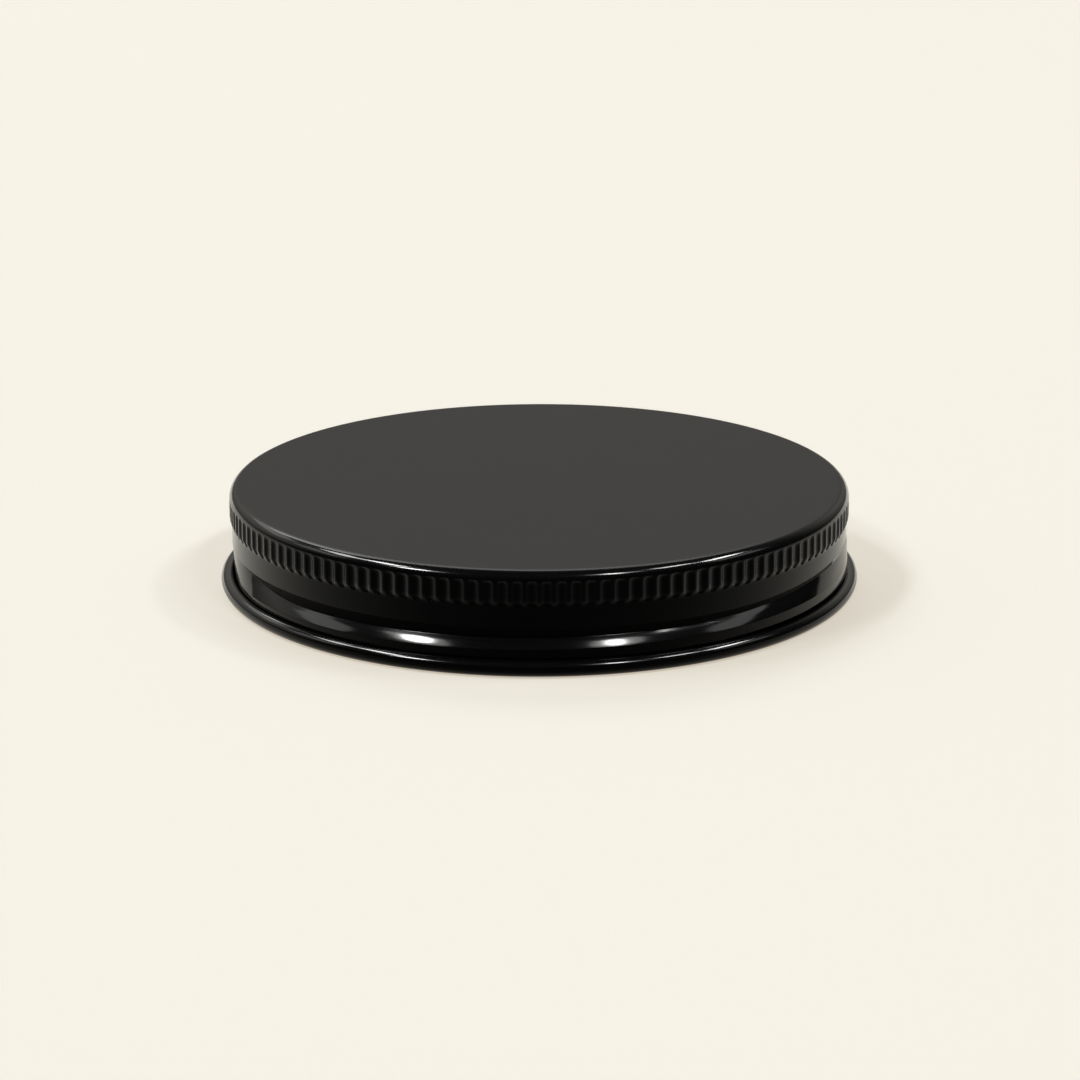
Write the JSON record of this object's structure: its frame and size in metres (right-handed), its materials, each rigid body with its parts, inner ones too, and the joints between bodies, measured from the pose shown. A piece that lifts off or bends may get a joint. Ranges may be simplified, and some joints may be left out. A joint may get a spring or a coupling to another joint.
{
  "type": "screw-on tin lid",
  "caption": "Low round black lid with a flat top, a knurled skirt, a rolled screw thread and a curled rim, to close a wide jar or tin",
  "frame": {"origin": "centre of the circle that the curled rim rests on", "axes": "+Z is the lid's axis and points out through the top panel, -Y faces the picture's camera and the thread's low end lies near -X"},
  "size_m": [0.0928, 0.0928, 0.0147],
  "materials": {
    "black_lacquer": "black lacquer, satin on the top panel and glossy on the skirt"
  },
  "bodies": {
    "root": {"tin_lid": "black_lacquer"}
  },
  "joints": []
}
